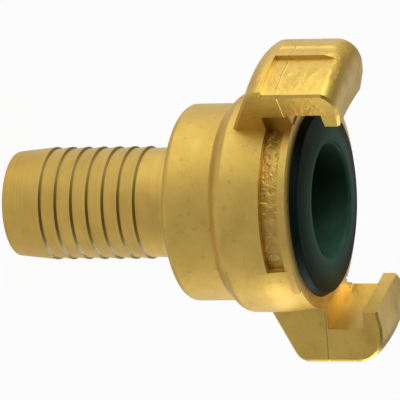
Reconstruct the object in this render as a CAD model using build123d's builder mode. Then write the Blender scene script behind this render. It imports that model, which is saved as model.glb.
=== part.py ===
"""Quarter turn claw coupling with a swivelling hose tail.

The coupling stands on the flat end of its hose tail. Its axis is +Z, the
origin is the centre of the tail's end face, and the mating face with the
rubber seal looks up. The two claws are centred on -X and +X.

The pieces, in the order in which they go together: the shaft seal ring is
rolled into its groove in the tail's head, the slide washer is dropped on to
the shoulder inside the forged claw body, the tail is passed through the body
from the front until its head meets the washer, the retaining ring is sprung
into its groove in front of the head, and the face seal is pressed into the
mouth of the body. The tail then turns freely in the body.
"""

import os
from math import cos, radians, sin, tan

from build123d import *

# ---------------------------------------------------------------- sizes (mm)
# Hose tail, outside the body
TAIL_REACH = 35.0  # from the tail's end to the rear face of the body
TAIL_BORE_R = 8.0
TAIL_END_R = 9.8
BARB_CREST_R = 10.6
BARB_ROOT_R = 10.22
BARB_COUNT = 7
BARB_PITCH = 3.14
BARB_STEP = 0.42  # axial length of the steep side of a barb
FIRST_BARB_Z = 7.7
TAIL_NECK_R = 10.3
TAIL_END_ROUND = 0.5
TAIL_BORE_LEAD = 0.6  # chamfer at the mouths of the tail's bore

# Hose tail, inside the body
JOURNAL_R = 10.69  # larger than the barbs, so that they pass the rear bore
HEAD_R = 14.8
HEAD_LENGTH = 7.0
SEAL_GROOVE_WIDTH = 2.4
SEAL_GROOVE_R = 12.9

# Fits
RUNNING_GAP = 0.06  # radial clearance of the swivel
END_FLOAT = 0.1  # axial clearance of the swivel at each side
SEAT_GAP = 0.05  # clearance of a piece that is held still

# Claw body, outside
BODY_LENGTH = 25.0  # rear face to mating face
BODY_REAR_ROUND = 1.2
SHOULDER_R = 20.6
SHOULDER_STEP = 2.2  # radial height of the shoulder above the rear barrel
SHOULDER_LENGTH = 15.6  # from the mating face back to the shoulder's foot
SHOULDER_RISE = 2.9  # axial length of the shoulder's rounded slope
NECK_DROP = 0.65  # radial depth of the neck below the shoulder
NECK_START = 7.4  # from the mating face back to the neck's slope
NECK_SLOPE = 3.4  # axial length of the neck's slope
RIM_LENGTH = 1.35
RIM_END_ANGLE = 115.5  # degrees from the claw's middle to the rim's end

# Claw body, inside
REAR_BORE_LENGTH = 4.8
REAR_BORE_LEAD = 0.5
MOUTH_WALL = 1.2  # between the track's floor and the seal's mouth
MOUTH_DEPTH = 8.6
SEAL_RECESS_SINK = 0.9
SEAL_RECESS_WIDTH = 1.6
SEAL_RECESS_DEPTH = 6.4  # from the mating face to the recess's front side

# Claws
CLAW_ANGLE = 39.5  # degrees that a claw spans
LIP_DISTANCE = 20.0  # from the axis to a lip's straight edge
LIP_REACH = 4.4  # from the straight edge to the inner face of the claw's wall
LIP_THICKNESS = 2.55  # at the straight edge
LIP_SLOPE = 1.0  # that the claw's front rises outwards from the straight edge
CLAW_WALL = 6.2
CLAW_REACH = 10.2  # beyond the mating face
CLAW_SEAT_DROP = 0.3  # of the claw's root below the mating face
CLAW_ROOT_LENGTH = 11.5  # from the mating face back, at the shoulder
CLAW_BACK_LENGTH = 6.2  # from the mating face back, at the outer face
CLAW_REAR_ROUND = 3.2
CLAW_FRONT_ROUND = 4.7
CLAW_CREST_ROUND = 2.0
CLAW_EDGE = 0.45  # bevel of a claw's end faces
PARTING_LENGTH = 0.7  # the parting line, behind the mating face
PARTING_STEP = 0.12

# Sunk panel and flute on a claw's outer face
PANEL_DEPTH = 0.8
PANEL_START = -1.5  # degrees from the claw's middle
PANEL_BACK = 3.4  # from the mating face back to the panel's rear edge
FLUTE_ANGLE = -8.0
FLUTE_R = 1.1
FLUTE_DEPTH = 0.4

# Track for the other coupling's lip
TRACK_SINK = 0.95  # depth of the track's floor below the neck
TRACK_LENGTH = 5.0  # from the mating face back to the track's rear wall
TRACK_END_ANGLE = 100.0  # degrees from the claw's middle to the track's end
TRACK_CORNER = 1.2
POCKET_ANGLE = 4.0  # that the track's blind end reaches into the claw
POCKET_GAP = 0.4  # radial wall left between the pocket and the claw's wall

# Slide washer, retaining ring and face seal
WASHER_THICKNESS = 0.8
RING_THICKNESS = 1.2
RING_GROOVE_DEPTH = 0.85
RING_WIDTH = 2.2
RING_GAP_ANGLE = 24.0
RING_LUG_R = 1.7
RING_HOLE_R = 0.75
RING_LUG_ANGLE = 18.5  # degrees from the gap's middle to a lug
FACE_SEAL_PROUD = 2.15  # beyond the mating face
FACE_SEAL_HOLE_R = 10.8
FACE_SEAL_LIP = 1.5  # radial width of the seal's highest ring
FACE_SEAL_EDGE_PROUD = 1.35  # the seal's outer edge, beyond the mating face
FACE_SEAL_EDGE_LEAN = 0.7  # that the seal's outer side leans inwards
FACE_SEAL_ROUND = 0.7
FACE_SEAL_EDGE_ROUND = 0.5

# ------------------------------------------------------------ derived places
REAR_Z = TAIL_REACH
FACE_Z = TAIL_REACH + BODY_LENGTH
CLAW_TIP_Z = FACE_Z + CLAW_REACH
LIP_TOP_Z = CLAW_TIP_Z - LIP_SLOPE
LIP_Z = LIP_TOP_Z - LIP_THICKNESS
SEAT_Z = FACE_Z - CLAW_SEAT_DROP
CLAW_WALL_R = LIP_DISTANCE + LIP_REACH
CLAW_R = CLAW_WALL_R + CLAW_WALL
BODY_REAR_R = SHOULDER_R - SHOULDER_STEP
NECK_R = SHOULDER_R - NECK_DROP
TRACK_FLOOR_R = NECK_R - TRACK_SINK
MOUTH_R = TRACK_FLOOR_R - MOUTH_WALL
SEAL_RECESS_R = MOUTH_R + SEAL_RECESS_SINK
CHAMBER_R = HEAD_R + RUNNING_GAP
REAR_BORE_R = JOURNAL_R + RUNNING_GAP
CHAMBER_Z = REAR_Z + REAR_BORE_LENGTH
HEAD_Z = CHAMBER_Z + WASHER_THICKNESS + END_FLOAT
HEAD_TOP_Z = HEAD_Z + HEAD_LENGTH
RING_Z = HEAD_TOP_Z + END_FLOAT
RING_GROOVE_R = CHAMBER_R + RING_GROOVE_DEPTH
MOUTH_Z = FACE_Z - MOUTH_DEPTH
RECESS_TOP_Z = FACE_Z - SEAL_RECESS_DEPTH
RECESS_Z = RECESS_TOP_Z - SEAL_RECESS_WIDTH
SHOULDER_Z = FACE_Z - SHOULDER_LENGTH
TRACK_Z = FACE_Z - TRACK_LENGTH
RIM_Z = FACE_Z - RIM_LENGTH
PARTING_Z = FACE_Z - PARTING_LENGTH
HALF_CLAW = CLAW_ANGLE / 2
CLAW_SIDES = (0, 180)  # directions of the two claws, in degrees

os.makedirs("parts", exist_ok=True)


def save(part, name):
    """Labels a finished piece and writes it as one STEP file."""
    part.label = name
    export_step(part, f"parts/{name}.step")


def barb_z(index):
    """Height of a barb's crest above the tail's end."""
    return FIRST_BARB_Z + index * BARB_PITCH


def half_plane(angle):
    """The upright plane through the axis at an angle from +X, outwards."""
    across = (cos(radians(angle)), sin(radians(angle)), 0)
    normal = (sin(radians(angle)), -cos(radians(angle)), 0)
    return Plane(origin=(0, 0, 0), x_dir=across, z_dir=normal)


# ------------------------------------------------------------------ hose tail
# One turned piece: a barbed spigot, a journal and a grooved head.
with BuildPart() as hose_tail:
    with BuildSketch(Plane.XZ):
        with BuildLine():
            crests = []
            for index in range(BARB_COUNT):
                crests.append((BARB_CREST_R, barb_z(index)))
                crests.append((BARB_ROOT_R, barb_z(index) + BARB_STEP))
            neck_z = barb_z(BARB_COUNT - 1) + BARB_PITCH
            groove_z = HEAD_Z + (HEAD_LENGTH - SEAL_GROOVE_WIDTH) / 2
            Polyline(
                (TAIL_BORE_R, 0),
                (TAIL_END_R, 0),
                *crests,
                (TAIL_NECK_R, neck_z),
                (TAIL_NECK_R, REAR_Z + REAR_BORE_LEAD),
                (JOURNAL_R, REAR_Z + REAR_BORE_LEAD),
                (JOURNAL_R, HEAD_Z),
                (HEAD_R, HEAD_Z),
                (HEAD_R, groove_z),
                (SEAL_GROOVE_R, groove_z),
                (SEAL_GROOVE_R, groove_z + SEAL_GROOVE_WIDTH),
                (HEAD_R, groove_z + SEAL_GROOVE_WIDTH),
                (HEAD_R, HEAD_TOP_Z),
                (TAIL_BORE_R, HEAD_TOP_Z),
                close=True,
            )
        make_face()
    revolve(axis=Axis.Z)
    end_edges = hose_tail.edges().filter_by(GeomType.CIRCLE).group_by(Axis.Z)[0]
    fillet(end_edges.sort_by(SortBy.RADIUS)[-1], TAIL_END_ROUND)
    chamfer(end_edges.sort_by(SortBy.RADIUS)[0], TAIL_BORE_LEAD)
    head_edges = hose_tail.edges().filter_by(GeomType.CIRCLE).group_by(Axis.Z)[-1]
    chamfer(head_edges, TAIL_BORE_LEAD)
save(hose_tail.part, "hose_tail")

# ------------------------------------------------------------ shaft seal ring
# A round cord ring in the groove of the tail's head, just inside the chamber.
with BuildPart() as shaft_seal_ring:
    cord_r = (CHAMBER_R - RUNNING_GAP / 2 - SEAL_GROOVE_R) / 2
    with BuildSketch(Plane.XZ):
        with Locations((SEAL_GROOVE_R + cord_r, HEAD_Z + HEAD_LENGTH / 2)):
            Circle(cord_r)
    revolve(axis=Axis.Z)
save(shaft_seal_ring.part, "shaft_seal_ring")

# --------------------------------------------------------------- slide washer
# A flat plastic ring between the body's inner shoulder and the tail's head.
with BuildPart() as slide_washer:
    with BuildSketch(Plane.XY.offset(CHAMBER_Z)):
        Circle(CHAMBER_R - SEAT_GAP)
        Circle(JOURNAL_R + 2 * RUNNING_GAP, mode=Mode.SUBTRACT)
    extrude(amount=WASHER_THICKNESS)
save(slide_washer.part, "slide_washer")

# ------------------------------------------------------------- retaining ring
# An open spring ring with two eyed lugs, sprung into the chamber's groove.
with BuildPart() as retaining_ring:
    ring_outer_r = RING_GROOVE_R - SEAT_GAP
    ring_inner_r = ring_outer_r - RING_WIDTH
    lug_r = ring_inner_r - RING_LUG_R / 2
    lug_places = PolarLocations(lug_r, 2, 90 - RING_LUG_ANGLE, 4 * RING_LUG_ANGLE)
    with BuildSketch(Plane.XY.offset(RING_Z)):
        Circle(ring_outer_r)
        Circle(ring_inner_r, mode=Mode.SUBTRACT)
        with BuildLine():
            gap_x = 2 * ring_outer_r * tan(radians(RING_GAP_ANGLE / 2))
            Polyline(
                (0, 0),
                (gap_x, 2 * ring_outer_r),
                (-gap_x, 2 * ring_outer_r),
                close=True,
            )
        make_face(mode=Mode.SUBTRACT)
        with lug_places:
            Circle(RING_LUG_R)
            Circle(RING_HOLE_R, mode=Mode.SUBTRACT)
    extrude(amount=RING_THICKNESS)
save(retaining_ring.part, "retaining_ring")

# ------------------------------------------------------------------ face seal
# A moulded rubber ring: a bead held in the body's recess, and a nose that
# stands proud of the mating face and rises towards the hole.
with BuildPart() as face_seal:
    with BuildSketch(Plane.XZ):
        with BuildLine():
            Polyline(
                (FACE_SEAL_HOLE_R, MOUTH_Z),
                (MOUTH_R, MOUTH_Z),
                (MOUTH_R, RECESS_Z),
                (SEAL_RECESS_R, RECESS_Z),
                (SEAL_RECESS_R, RECESS_TOP_Z),
                (MOUTH_R, RECESS_TOP_Z),
                (MOUTH_R, FACE_Z),
                (MOUTH_R - FACE_SEAL_EDGE_LEAN, FACE_Z + FACE_SEAL_EDGE_PROUD),
                (FACE_SEAL_HOLE_R + FACE_SEAL_LIP, FACE_Z + FACE_SEAL_PROUD),
                (FACE_SEAL_HOLE_R, FACE_Z + FACE_SEAL_PROUD),
                close=True,
            )
        make_face()
    revolve(axis=Axis.Z)
    seal_rims = face_seal.edges().filter_by(GeomType.CIRCLE).group_by(Axis.Z)
    fillet(seal_rims[-1], FACE_SEAL_ROUND)
    fillet(face_seal.edges().filter_by(GeomType.CIRCLE).sort_by_distance(
        (MOUTH_R - FACE_SEAL_EDGE_LEAN, 0, FACE_Z + FACE_SEAL_EDGE_PROUD))[0],
        FACE_SEAL_EDGE_ROUND,
    )
save(face_seal.part, "face_seal")

# ------------------------------------------------------------------ claw body
# One forged piece. Its claws and tracks are each turned through their own angle.
with BuildPart() as claw_body:
    # The barrel, shoulder and neck, with the bores inside
    with BuildSketch(Plane.XZ):
        with BuildLine():
            shoulder = Spline(
                (BODY_REAR_R, SHOULDER_Z),
                (SHOULDER_R, SHOULDER_Z + SHOULDER_RISE),
                tangents=((0.55, 1), (0.12, 1)),
            )
            Polyline(
                shoulder @ 1,
                (SHOULDER_R, FACE_Z - NECK_START),
                (NECK_R, FACE_Z - NECK_START + NECK_SLOPE),
                (NECK_R, FACE_Z),
                (MOUTH_R, FACE_Z),
                (MOUTH_R, RECESS_TOP_Z),
                (SEAL_RECESS_R, RECESS_TOP_Z),
                (SEAL_RECESS_R, RECESS_Z),
                (MOUTH_R, RECESS_Z),
                (MOUTH_R, MOUTH_Z),
                (CHAMBER_R, MOUTH_Z),
                (CHAMBER_R, RING_Z + RING_THICKNESS),
                (RING_GROOVE_R, RING_Z + RING_THICKNESS),
                (RING_GROOVE_R, RING_Z),
                (CHAMBER_R, RING_Z),
                (CHAMBER_R, CHAMBER_Z),
                (REAR_BORE_R, CHAMBER_Z),
                (REAR_BORE_R, REAR_Z),
                (BODY_REAR_R, REAR_Z),
                shoulder @ 0,
            )
        make_face()
    revolve(axis=Axis.Z)
    rear_rims = claw_body.edges().filter_by(GeomType.CIRCLE).group_by(Axis.Z)[0]
    fillet(rear_rims.sort_by(SortBy.RADIUS)[-1], BODY_REAR_ROUND)
    chamfer(rear_rims.sort_by(SortBy.RADIUS)[0], REAR_BORE_LEAD)

    # The two claws
    claw_profile = (
        (MOUTH_R + MOUTH_WALL, FACE_Z - CLAW_ROOT_LENGTH),
        (SHOULDER_R, FACE_Z - CLAW_ROOT_LENGTH),
        (CLAW_R, FACE_Z - CLAW_BACK_LENGTH),
        (CLAW_R, CLAW_TIP_Z),
        (CLAW_WALL_R, CLAW_TIP_Z),
        (LIP_DISTANCE, LIP_TOP_Z),
        (LIP_DISTANCE, LIP_Z),
        (CLAW_WALL_R, LIP_Z),
        (CLAW_WALL_R, SEAT_Z),
        (MOUTH_R + MOUTH_WALL, SEAT_Z),
    )
    for side in CLAW_SIDES:
        with BuildSketch(half_plane(side - HALF_CLAW)) as claw_section:
            with BuildLine():
                Polyline(*claw_profile, close=True)
            make_face()
            corners = claw_section.vertices()
            rear_corner = corners.sort_by_distance(claw_profile[2])[0]
            fillet(rear_corner, CLAW_REAR_ROUND)
            corners = claw_section.vertices()
            front_corner = corners.sort_by_distance(claw_profile[3])[0]
            fillet(front_corner, CLAW_FRONT_ROUND)
            corners = claw_section.vertices()
            crest_corner = corners.sort_by_distance(claw_profile[4])[0]
            fillet(crest_corner, CLAW_CREST_ROUND)
        revolve(axis=Axis.Z, revolution_arc=CLAW_ANGLE)

    # The straight edges of the lips
    with BuildSketch(Plane.XY.offset(LIP_Z)):
        Rectangle(2 * LIP_DISTANCE, 2 * CLAW_R)
    extrude(amount=CLAW_TIP_Z - LIP_Z, mode=Mode.SUBTRACT)

    # The pockets at the tracks' blind ends, cut into the claws
    pocket_r = CLAW_WALL_R - POCKET_GAP
    for side in CLAW_SIDES:
        with BuildSketch(half_plane(side + HALF_CLAW - POCKET_ANGLE)):
            with BuildLine():
                Polyline(
                    (NECK_R, TRACK_Z),
                    (pocket_r, TRACK_Z),
                    (pocket_r, FACE_Z + CLAW_SEAT_DROP),
                    (NECK_R, FACE_Z + CLAW_SEAT_DROP),
                    close=True,
                )
            make_face()
        revolve(axis=Axis.Z, revolution_arc=2 * POCKET_ANGLE, mode=Mode.SUBTRACT)

    # The tracks, from a pocket to a round-cornered end
    track_angle = TRACK_END_ANGLE - HALF_CLAW + POCKET_ANGLE
    for side in CLAW_SIDES:
        with BuildSketch(half_plane(side + HALF_CLAW - POCKET_ANGLE)):
            with BuildLine():
                Polyline(
                    (TRACK_FLOOR_R, TRACK_Z),
                    (pocket_r, TRACK_Z),
                    (pocket_r, RIM_Z),
                    (TRACK_FLOOR_R, RIM_Z),
                    close=True,
                )
            make_face()
        revolve(axis=Axis.Z, revolution_arc=track_angle, mode=Mode.SUBTRACT)

    # The rims in front of the tracks
    for side in CLAW_SIDES:
        rim_start = side + HALF_CLAW - POCKET_ANGLE
        rim_angle = RIM_END_ANGLE - HALF_CLAW + POCKET_ANGLE
        with BuildSketch(half_plane(rim_start)):
            with Locations(((TRACK_FLOOR_R + SHOULDER_R) / 2, FACE_Z - RIM_LENGTH / 2)):
                Rectangle(SHOULDER_R - TRACK_FLOOR_R, RIM_LENGTH)
        revolve(axis=Axis.Z, revolution_arc=rim_angle)

    # Each claw's outer face: a sunk panel, and a flute along its far border
    panel_length = CLAW_REACH + PANEL_BACK
    panel_z = FACE_Z - PANEL_BACK
    for side in CLAW_SIDES:
        with BuildSketch(half_plane(side + PANEL_START)):
            with Locations((CLAW_R, panel_z + panel_length / 2)):
                Rectangle(2 * PANEL_DEPTH, panel_length)
        revolve(axis=Axis.Z, revolution_arc=CLAW_ANGLE, mode=Mode.SUBTRACT)
        with BuildSketch(Plane.XY.offset(panel_z)):
            flute_centre_r = CLAW_R + FLUTE_R - FLUTE_DEPTH
            with PolarLocations(flute_centre_r, 1, side + FLUTE_ANGLE):
                Circle(FLUTE_R)
        extrude(amount=panel_length, mode=Mode.SUBTRACT)

    # Bevels along the outer edges of the claws' end faces
    for side in CLAW_SIDES:
        for end in (side - HALF_CLAW, side + HALF_CLAW):
            end_plane = half_plane(end)
            end_edges = claw_body.edges().filter_by(
                lambda edge: abs(end_plane.to_local_coords(edge @ 0.0).Z) < 0.001
                and abs(end_plane.to_local_coords(edge @ 0.5).Z) < 0.001
                and abs(end_plane.to_local_coords(edge @ 1.0).Z) < 0.001
                and end_plane.to_local_coords(edge @ 0.5).X > CLAW_WALL_R + LIP_SLOPE
            )
            chamfer(end_edges, CLAW_EDGE)
save(claw_body.part, "claw_body")
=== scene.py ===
"""Finishes for the quarter turn claw coupling, laid out as an add-on.

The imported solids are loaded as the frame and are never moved. Each operator
finishes one piece or a group of like pieces, one adds the neck's forms, and one
sets the stage.
"""

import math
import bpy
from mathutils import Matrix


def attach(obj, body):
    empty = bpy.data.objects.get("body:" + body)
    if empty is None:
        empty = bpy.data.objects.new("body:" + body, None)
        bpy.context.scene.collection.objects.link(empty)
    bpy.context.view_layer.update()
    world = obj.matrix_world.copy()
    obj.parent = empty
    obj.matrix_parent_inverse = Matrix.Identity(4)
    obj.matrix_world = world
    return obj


bl_info = {
    "name": "Quarter Turn Claw Coupling",
    "version": (1, 0, 0),
    "blender": (4, 5, 0),
    "location": "View3D > Sidebar > Coupling",
    "description": "Finishes a brass claw coupling with a swivelling hose tail",
    "category": "Object",
}

import bmesh
import bpy
from mathutils import Matrix, Vector

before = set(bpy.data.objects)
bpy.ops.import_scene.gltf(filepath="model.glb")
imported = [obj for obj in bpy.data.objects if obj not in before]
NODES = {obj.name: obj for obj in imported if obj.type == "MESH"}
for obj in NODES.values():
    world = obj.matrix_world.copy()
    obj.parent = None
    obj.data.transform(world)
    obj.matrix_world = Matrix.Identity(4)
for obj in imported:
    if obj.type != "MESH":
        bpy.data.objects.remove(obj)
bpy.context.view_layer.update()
MM = 0.001

# Pairs give where a mask is 0 and where it is 1
PARTING_Z = 59.3 * MM
SEAM_WIDTH = (0.16 * MM, 0.03 * MM)
SEAM_R = (20.9 * MM, 21.4 * MM)
TRACK_FLOOR_R = (19.35 * MM, 19.15 * MM)
TRACK_FLOOR_Z = (54.8 * MM, 55.2 * MM)
CLAW_R = (22.0 * MM, 25.0 * MM)
BARB_FOOT = 7.6 * MM
BARB_PITCH = 3.14 * MM
BARB_END = 27.4 * MM
BARB_BLEND = 0.1 * MM
BARB_ROOT_R = (10.0 * MM, 10.15 * MM)
FOOT_START = (0.02 * MM, 0.14 * MM)
FOOT_END = (0.62 * MM, 0.42 * MM)
# Radii where the seal face turns from painted shade to painted sheen
SEAL_SHADE_SHEEN_R = (16.2 * MM, 11.6 * MM)
RUBBER_GRAIN = 0.02 * MM

# Sections of the neck's forms as radius and height in mm, and angles in degrees
WALL_PROFILE = ((19.4, 52.4), (20.61, 52.4), (20.61, 54.98), (19.4, 54.98))
WALL_START = 15.9
WALL_ANGLE = 84.3
NECK_PROFILE = (
    (19.2, 51.4),
    (20.61, 51.4),
    (20.61, 52.7),
    (20.56, 53.6),
    (20.46, 54.6),
    (20.31, 55.6),
    (20.16, 56.7),
    (20.05, 57.9),
    (19.99, 59.0),
    (19.96, 59.9),
    (19.2, 59.9),
)
NECK_START = 99.9
NECK_ANGLE = 61.5
SHARP_EDGE = math.radians(30)

# The stage; the aim is a point on the axis, raised a little in the view
AIM_HEIGHT = 36.13 * MM
AIM_RISE = 0.37 * MM
CAMERA_LEAN = math.radians(0.48)
SENSOR_WIDTH = 36.0
LAMP_DISTANCE = 0.6
FLOOR_REACH = 4.0


# --------------------------------------------------------------- shader maths
class Socket:
    """A shader socket that takes part in Python expressions."""

    def __init__(self, sheet, link):
        self.sheet = sheet
        self.link = link

    def _math(self, operation, first, second=None):
        values = {0: first}
        if second is not None:
            values[1] = second
        return self.sheet.node("ShaderNodeMath", {"operation": operation}, values)

    def __add__(self, other):
        return self._math("ADD", self, other)

    def __radd__(self, other):
        return self._math("ADD", other, self)

    def __sub__(self, other):
        return self._math("SUBTRACT", self, other)

    def __rsub__(self, other):
        return self._math("SUBTRACT", other, self)

    def __mul__(self, other):
        return self._math("MULTIPLY", self, other)

    def __rmul__(self, other):
        return self._math("MULTIPLY", other, self)

    def __mod__(self, other):
        return self._math("MODULO", self, other)

    def __rmod__(self, other):
        return self._math("MODULO", other, self)

    def clamped(self):
        """The value held between 0 and 1."""
        return self.sheet.node("ShaderNodeClamp", {}, {"Value": self})

    def root(self):
        """The square root of the value."""
        return self._math("SQRT", self)

    def most(self, other):
        """The larger of two values."""
        return self._math("MAXIMUM", self, other)

    def size(self):
        """The value without its sign."""
        return self._math("ABSOLUTE", self)

    def over(self, low, high):
        """Rises smoothly from 0 at low to 1 at high, or the other way."""
        return self.sheet.node(
            "ShaderNodeMapRange",
            {"interpolation_type": "SMOOTHSTEP"},
            {"Value": self, "From Min": low, "From Max": high},
        )


class Finish:
    """A material under construction, with its nodes and its main shader."""

    def __init__(self, name):
        self.material = bpy.data.materials.new(name)
        self.material.use_nodes = True
        self.tree = self.material.node_tree
        self.shader = self.tree.nodes["Principled BSDF"]
        self.output = self.tree.nodes["Material Output"]

    def node(self, kind, settings=None, inputs=None, output=0):
        """Adds a node of a type, with its settings first and then its inputs."""
        made = self.tree.nodes.new(kind)
        for key, value in (settings or {}).items():
            setattr(made, key, value)
        for key, value in (inputs or {}).items():
            self._feed(made.inputs[key], value)
        return Socket(self, made.outputs[output])

    def _feed(self, target, value):
        if isinstance(value, Socket):
            self.tree.links.new(value.link, target)
        else:
            target.default_value = value

    def place(self):
        """Object coordinates, in metres."""
        return self.node("ShaderNodeTexCoord", output="Object")

    def parts(self, vector):
        """The X, Y and Z of a vector."""
        split = self.node("ShaderNodeSeparateXYZ", {}, {"Vector": vector})
        made = split.link.node
        return [Socket(self, made.outputs[index]) for index in range(3)]

    def noise(self, vector, scale, detail=3.0, roughness=0.55):
        """Fractal noise from 0 to 1."""
        return self.node(
            "ShaderNodeTexNoise",
            {},
            {"Vector": vector, "Scale": scale, "Detail": detail, "Roughness": roughness},
            "Fac",
        )

    def stretched(self, vector, scale):
        """A vector scaled apart along X, Y and Z."""
        return self.node("ShaderNodeMapping", {}, {"Vector": vector, "Scale": scale})

    def blended(self, factor, first, second):
        """One colour turning into another."""
        return self.node(
            "ShaderNodeMix",
            {"data_type": "RGBA", "clamp_factor": True},
            {0: factor, 6: first, 7: second},
            2,
        )

    def bumps(self, height, strength, distance):
        """A surface relief from a height."""
        values = {"Height": height, "Strength": strength, "Distance": distance}
        return self.node("ShaderNodeBump", {}, values)

    def set(self, **values):
        """Sets or links inputs of the main shader; names use _ for a space."""
        for key, value in values.items():
            self._feed(self.shader.inputs[key.replace("_", " ")], value)


def linear(red, green, blue):
    """A screen colour from 0 to 255 as a linear shader colour."""
    out = []
    for channel in (red, green, blue):
        share = channel / 255
        if share <= 0.04045:
            out.append(share / 12.92)
        else:
            out.append(((share + 0.055) / 1.055) ** 2.4)
    return (*out, 1.0)


def dress(node_name, material):
    """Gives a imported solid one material."""
    mesh = NODES[node_name].data
    mesh.materials.clear()
    mesh.materials.append(material)


# ------------------------------------------------------------------- settings
class CouplingFinishes(bpy.types.PropertyGroup):
    """Colours and grain of the pieces."""

    forged_brass: bpy.props.FloatVectorProperty(
        name="Forged Brass",
        description="Colour of the blasted forging",
        subtype="COLOR",
        size=4,
        min=0.0,
        max=1.0,
        default=linear(226, 190, 90),
    )
    turned_brass: bpy.props.FloatVectorProperty(
        name="Turned Brass",
        description="Colour of the machined hose tail",
        subtype="COLOR",
        size=4,
        min=0.0,
        max=1.0,
        default=linear(230, 194, 94),
    )
    seal_rubber: bpy.props.FloatVectorProperty(
        name="Seal Rubber",
        description="Colour of the moulded seals",
        subtype="COLOR",
        size=4,
        min=0.0,
        max=1.0,
        default=linear(46, 76, 63),
    )
    forging_grain: bpy.props.FloatProperty(
        name="Forging Grain",
        description="Depth of the blasted skin's grain",
        default=0.00009,
        min=0.0,
        max=0.001,
        precision=6,
        subtype="DISTANCE",
        unit="LENGTH",
    )
    lathe_rings: bpy.props.FloatProperty(
        name="Lathe Rings",
        description="Depth of the fine rings left by turning",
        default=0.00001,
        min=0.0,
        max=0.001,
        precision=6,
        subtype="DISTANCE",
        unit="LENGTH",
    )


class CouplingStage(bpy.types.PropertyGroup):
    """Camera, lamps and floor."""

    camera_heading: bpy.props.FloatProperty(
        name="Camera Heading",
        description="Direction of the camera around the coupling's axis, from +X",
        default=math.radians(59.5),
        subtype="ANGLE",
        unit="ROTATION",
    )
    camera_height: bpy.props.FloatProperty(
        name="Camera Height Angle",
        description="Angle of the camera above the mating face's plane",
        default=math.radians(20.3),
        subtype="ANGLE",
        unit="ROTATION",
    )
    camera_distance: bpy.props.FloatProperty(
        name="Camera Distance",
        description="From the camera to the point it looks at",
        default=1.2,
        min=0.2,
        subtype="DISTANCE",
        unit="LENGTH",
    )
    view_width: bpy.props.FloatProperty(
        name="View Width",
        description="Width of the view at the coupling",
        default=0.07477,
        min=0.01,
        subtype="DISTANCE",
        unit="LENGTH",
    )
    light_level: bpy.props.FloatProperty(
        name="Light Level",
        description="Strength of all lamps together",
        default=1.0,
        min=0.0,
        max=10.0,
        subtype="FACTOR",
    )


# ------------------------------------------------------------------ operators
def forged_finish(settings):
    """The blasted skin of a brass forging, with its parting line and scale."""
    finish = Finish("forged_brass")
    place = finish.place()
    x, y, z = finish.parts(place)
    radius = (x * x + y * y).root()
    patches = finish.noise(place, 150.0, 4.0, 0.6)
    clouds = finish.noise(place, 55.0, 2.0, 0.5)
    grain = finish.noise(place, 2400.0, 3.0, 0.6)
    pits = finish.noise(place, 700.0, 3.0, 0.6)
    dents = finish.noise(place, 210.0, 2.0, 0.5)
    # Coarse scale stays on the tracks' floors and on the claws
    track = radius.over(*TRACK_FLOOR_R) * z.over(*TRACK_FLOOR_Z)
    claws = radius.over(*CLAW_R)
    coarse = (track + claws * patches.over(0.42, 0.66) * 0.5).clamped()
    # The die's parting line runs around the claws just behind the mating face
    away = (z - PARTING_Z).size()
    seam = away.over(*SEAM_WIDTH) * radius.over(*SEAM_R)
    scale = pits.over(0.36, 0.60)
    height = grain * 0.35 + pits * 0.5 + coarse * scale * 1.6 + dents * 1.6 + seam * 1.2
    relief = finish.bumps(height, 0.7, settings.forging_grain)
    pale = list(settings.forged_brass)
    deep = [pale[0] * 0.66, pale[1] * 0.60, pale[2] * 0.45, 1.0]
    tone = patches.over(0.36, 0.70) * 0.35 + clouds.over(0.35, 0.65) * 0.2
    tone = tone + coarse * (1 - scale) * 0.45 + seam * 0.35
    tone = tone + pits.over(0.58, 0.72) * 0.45
    colour = finish.blended(tone.clamped(), pale, deep)
    rough = patches * 0.12 + coarse * 0.06 + 0.40
    finish.set(Base_Color=colour, Metallic=1.0, Roughness=rough, Normal=relief)
    finish.set(Coat_Weight=0.4, Coat_Roughness=0.3, Coat_IOR=1.7)
    return finish.material


class COUPLING_OT_claw_body(bpy.types.Operator):
    """Gives the claw body the blasted skin of a brass forging."""

    bl_idname = "coupling.claw_body"
    bl_label = "Claw Body"

    def execute(self, context):
        material = forged_finish(context.scene.coupling_finishes)
        dress("claw_body", material)
        return {"FINISHED"}


class COUPLING_OT_neck_forms(bpy.types.Operator):
    """Adds the full wall behind each track and the neck's smooth slope."""

    bl_idname = "coupling.neck_forms"
    bl_label = "Neck Forms"

    def execute(self, context):
        self.form(context, "track_walls", WALL_PROFILE, WALL_START, WALL_ANGLE)
        self.form(context, "neck_slopes", NECK_PROFILE, NECK_START, NECK_ANGLE)
        return {"FINISHED"}

    def form(self, context, name, profile, start, angle):
        """The same ring sector behind both claws, spun around the axis."""
        mesh = bpy.data.meshes.new(name)
        shape = bmesh.new()
        for side in (0.0, 180.0):
            corners = [shape.verts.new((r * MM, 0, z * MM)) for r, z in profile]
            face = shape.faces.new(corners)
            turn = Matrix.Rotation(math.radians(side + start), 3, "Z")
            bmesh.ops.rotate(shape, verts=corners, cent=(0, 0, 0), matrix=turn)
            bmesh.ops.spin(
                shape,
                geom=[face] + face.edges[:] + face.verts[:],
                cent=(0, 0, 0),
                axis=(0, 0, 1),
                angle=math.radians(angle),
                steps=round(angle),
                use_merge=False,
            )
        bmesh.ops.recalc_face_normals(shape, faces=shape.faces)
        for face in shape.faces:
            face.smooth = True
        for edge in shape.edges:
            if edge.is_manifold and edge.calc_face_angle() > SHARP_EDGE:
                edge.smooth = False
        shape.to_mesh(mesh)
        shape.free()
        mesh.materials.append(NODES["claw_body"].data.materials[0])
        made = bpy.data.objects.new(name, mesh)
        context.scene.collection.objects.link(made)
        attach(made, "body")


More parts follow.
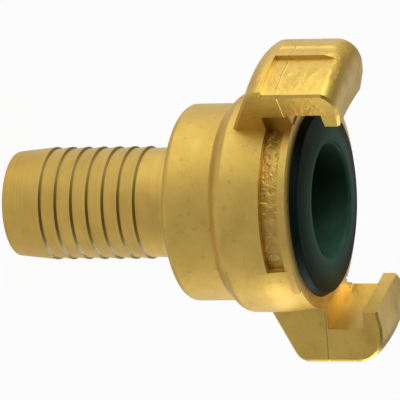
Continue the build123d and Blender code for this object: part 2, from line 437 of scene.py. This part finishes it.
class COUPLING_OT_hose_tail(bpy.types.Operator):
    """Gives the hose tail the fine rings of a turned brass piece."""

    bl_idname = "coupling.hose_tail"
    bl_label = "Hose Tail"

    def execute(self, context):
        settings = context.scene.coupling_finishes
        finish = Finish("turned_brass")
        place = finish.place()
        x, y, z = finish.parts(place)
        radius = (x * x + y * y).root()
        rings = finish.noise(finish.stretched(place, (20.0, 20.0, 5200.0)), 1.0, 2.0)
        patches = finish.noise(place, 160.0, 3.0, 0.5)
        pale = settings.turned_brass
        deep = [pale[0] * 0.72, pale[1] * 0.68, pale[2] * 0.55, 1.0]
        tone = patches.over(0.35, 0.7) * 0.45 + rings.over(0.3, 0.7) * 0.35
        colour = finish.blended(tone, list(pale), deep)
        # Painted shadow lies in the foot of each barb
        step = (z - BARB_FOOT) % BARB_PITCH
        barbs = z.over(BARB_FOOT, BARB_FOOT + BARB_BLEND)
        barbs = barbs * z.over(BARB_END, BARB_END - BARB_BLEND)
        foot = step.over(*FOOT_START) * step.over(*FOOT_END)
        foot = foot * barbs * radius.over(*BARB_ROOT_R)
        painted_barb_shadow = [channel * 0.16 for channel in pale[:3]] + [1.0]
        colour = finish.blended(foot * 0.9, colour, painted_barb_shadow)
        relief = finish.bumps(rings, 0.5, settings.lathe_rings)
        rough = patches * 0.08 + rings * 0.05 + foot * 0.2 + 0.38
        finish.set(Base_Color=colour, Metallic=1.0, Roughness=rough, Normal=relief)
        finish.set(Coat_Weight=0.4, Coat_Roughness=0.28, Coat_IOR=1.7)
        dress("hose_tail", finish.material)
        return {"FINISHED"}


class COUPLING_OT_seals(bpy.types.Operator):
    """Gives the face seal and the shaft seal ring their moulded rubber."""

    bl_idname = "coupling.seals"
    bl_label = "Seals"

    def execute(self, context):
        settings = context.scene.coupling_finishes
        finish = Finish("seal_rubber")
        place = finish.place()
        x, y, z = finish.parts(place)
        radius = (x * x + y * y).root()
        dust_and_sheen = finish.noise(place, 240.0, 4.0, 0.6)
        grain = finish.noise(place, 3000.0, 2.0, 0.5)
        plain = settings.seal_rubber
        painted_shade_colour = [channel * 0.12 for channel in plain[:3]] + [1.0]
        # Painted shade and sheen: the face is painted near-black toward its outer edge, where
        # it lies in shade, and paler toward the hole, where light falls on it
        painted_sheen = radius.over(*SEAL_SHADE_SHEEN_R) * (dust_and_sheen.over(0.35, 0.75) * 0.3 + 0.7)
        colour = finish.blended(painted_sheen, painted_shade_colour, list(plain))
        relief = finish.bumps(grain, 0.3, RUBBER_GRAIN)
        rough = dust_and_sheen * 0.15 + 0.46
        finish.set(Base_Color=colour, Roughness=rough, Normal=relief)
        finish.set(Specular_IOR_Level=0.08, Specular_Tint=(0.55, 0.85, 0.75, 1.0))
        dress("face_seal", finish.material)
        dress("shaft_seal_ring", finish.material)
        return {"FINISHED"}


class COUPLING_OT_swivel_pieces(bpy.types.Operator):
    """Gives the slide washer and the retaining ring their finishes."""

    bl_idname = "coupling.swivel_pieces"
    bl_label = "Swivel Pieces"

    def execute(self, context):
        washer = Finish("washer_plastic")
        washer.set(Base_Color=linear(226, 224, 212), Roughness=0.45)
        dress("slide_washer", washer.material)
        ring = Finish("spring_steel")
        place = ring.place()
        oil = ring.noise(place, 400.0, 3.0, 0.5)
        ring.set(Base_Color=linear(150, 150, 152), Metallic=1.0, Roughness=oil * 0.2 + 0.25)
        dress("retaining_ring", ring.material)
        return {"FINISHED"}


class COUPLING_OT_stage(bpy.types.Operator):
    """Sets the floor, the soft lamps, the world and the camera."""

    bl_idname = "coupling.stage"
    bl_label = "Stage"

    def execute(self, context):
        settings = context.scene.coupling_stage
        scene = context.scene
        self.floor()
        self.world(scene)
        toward, right, up = self.directions(settings)
        target = Vector((0, 0, AIM_HEIGHT)) + up * AIM_RISE
        self.camera(scene, settings, target, toward, right, up)
        level = settings.light_level
        axis = Vector((0, 0, 1))
        outward = (toward - axis * toward.z).normalized()
        side = outward.cross(axis)
        key = side * 0.90 + outward * 0.30 + axis * 0.10
        low = side * -0.90 - outward * 0.35 + axis * 0.20
        back = outward * -0.90 + side * 0.10 + axis * 0.45
        bounce = side * 0.85 + outward * 0.30 + axis * 0.42
        self.lamp("key", target, key, 0.90, 7.0 * level)
        self.lamp("bounce", target, bounce, 0.30, 0.9 * level)
        self.lamp("low", target, low, 0.50, 3.4 * level)
        self.lamp("back", target, back, 0.40, 0.25 * level)
        scene.view_settings.view_transform = "Standard"
        return {"FINISHED"}

    def directions(self, settings):
        """The camera's own directions: towards it, to its right and up."""
        heading = settings.camera_heading
        height = settings.camera_height
        outward = Vector((math.cos(heading), math.sin(heading), 0))
        axis = Vector((0, 0, 1))
        toward = axis * math.sin(height) + outward * math.cos(height)
        right = axis * math.cos(height) - outward * math.sin(height)
        up = outward.cross(axis)
        leant_right = right * math.cos(CAMERA_LEAN) - up * math.sin(CAMERA_LEAN)
        leant_up = right * math.sin(CAMERA_LEAN) + up * math.cos(CAMERA_LEAN)
        return toward, leant_right, leant_up

    def camera(self, scene, settings, target, toward, right, up):
        """A long lens, rolled so that the coupling lies across the view."""
        data = bpy.data.cameras.new("camera")
        data.sensor_width = SENSOR_WIDTH
        data.lens = SENSOR_WIDTH * settings.camera_distance / settings.view_width
        data.clip_start = 0.05
        data.clip_end = 20.0
        camera = bpy.data.objects.new("camera", data)
        turned = Matrix((right, up, toward)).transposed().to_4x4()
        place = Matrix.Translation(target + toward * settings.camera_distance)
        camera.matrix_world = place @ turned
        scene.collection.objects.link(camera)
        scene.camera = camera

    def lamp(self, name, target, direction, size, power):
        """A large soft lamp that faces the coupling."""
        data = bpy.data.lights.new(name, "AREA")
        data.shape = "DISK"
        data.size = size
        data.energy = power
        lamp = bpy.data.objects.new(name, data)
        away = direction.normalized()
        lamp.location = target + away * LAMP_DISTANCE
        lamp.rotation_euler = away.to_track_quat("Z", "Y").to_euler()
        bpy.context.scene.collection.objects.link(lamp)

    def floor(self):
        """A wide pale floor under the tail's end."""
        mesh = bpy.data.meshes.new("floor")
        shape = bmesh.new()
        bmesh.ops.create_grid(shape, x_segments=1, y_segments=1, size=FLOOR_REACH)
        shape.to_mesh(mesh)
        shape.free()
        floor = bpy.data.objects.new("floor", mesh)
        bpy.context.scene.collection.objects.link(floor)
        finish = Finish("pale_floor")
        finish.set(Base_Color=(0.6, 0.6, 0.6, 1.0), Roughness=0.9)
        seen = finish.node("ShaderNodeLightPath", output="Is Camera Ray")
        mirrored = finish.node("ShaderNodeLightPath", output="Is Glossy Ray")
        glow = finish.node("ShaderNodeEmission", {}, {"Color": (1, 1, 1, 1), "Strength": 1.0})
        shaded = Socket(finish, finish.shader.outputs[0])
        share = seen.most(mirrored * 0.28) * 0.95
        mixed = finish.node("ShaderNodeMixShader", {}, {0: share, 1: shaded, 2: glow})
        finish.tree.links.new(mixed.link, finish.output.inputs["Surface"])
        mesh.materials.append(finish.material)

    def world(self, scene):
        """A plain pale world."""
        world = bpy.data.worlds.new("world")
        world.use_nodes = True
        background = world.node_tree.nodes["Background"]
        background.inputs["Color"].default_value = (1, 1, 1, 1)
        background.inputs["Strength"].default_value = 0.17
        scene.world = world


class COUPLING_PT_pieces(bpy.types.Panel):
    """Lists the coupling's pieces and its settings."""

    bl_idname = "COUPLING_PT_pieces"
    bl_label = "Claw Coupling"
    bl_space_type = "VIEW_3D"
    bl_region_type = "UI"
    bl_category = "Coupling"

    def draw(self, context):
        layout = self.layout
        for name in STEPS:
            layout.operator(name)
        for group in (context.scene.coupling_finishes, context.scene.coupling_stage):
            for key in group.__annotations__:
                layout.prop(group, key)


STEPS = (
    "coupling.claw_body",
    "coupling.neck_forms",
    "coupling.hose_tail",
    "coupling.seals",
    "coupling.swivel_pieces",
    "coupling.stage",
)

CLASSES = (
    CouplingFinishes,
    CouplingStage,
    COUPLING_OT_claw_body,
    COUPLING_OT_neck_forms,
    COUPLING_OT_hose_tail,
    COUPLING_OT_seals,
    COUPLING_OT_swivel_pieces,
    COUPLING_OT_stage,
    COUPLING_PT_pieces,
)


def register():
    for item in CLASSES:
        bpy.utils.register_class(item)
    bpy.types.Scene.coupling_finishes = bpy.props.PointerProperty(type=CouplingFinishes)
    bpy.types.Scene.coupling_stage = bpy.props.PointerProperty(type=CouplingStage)


def unregister():
    del bpy.types.Scene.coupling_stage
    del bpy.types.Scene.coupling_finishes
    for item in reversed(CLASSES):
        bpy.utils.unregister_class(item)


def main():
    """Makes every piece in order."""
    register()
    for name in STEPS:
        area, step = name.split(".")
        getattr(getattr(bpy.ops, area), step)()


if __name__ == "__main__":
    main()
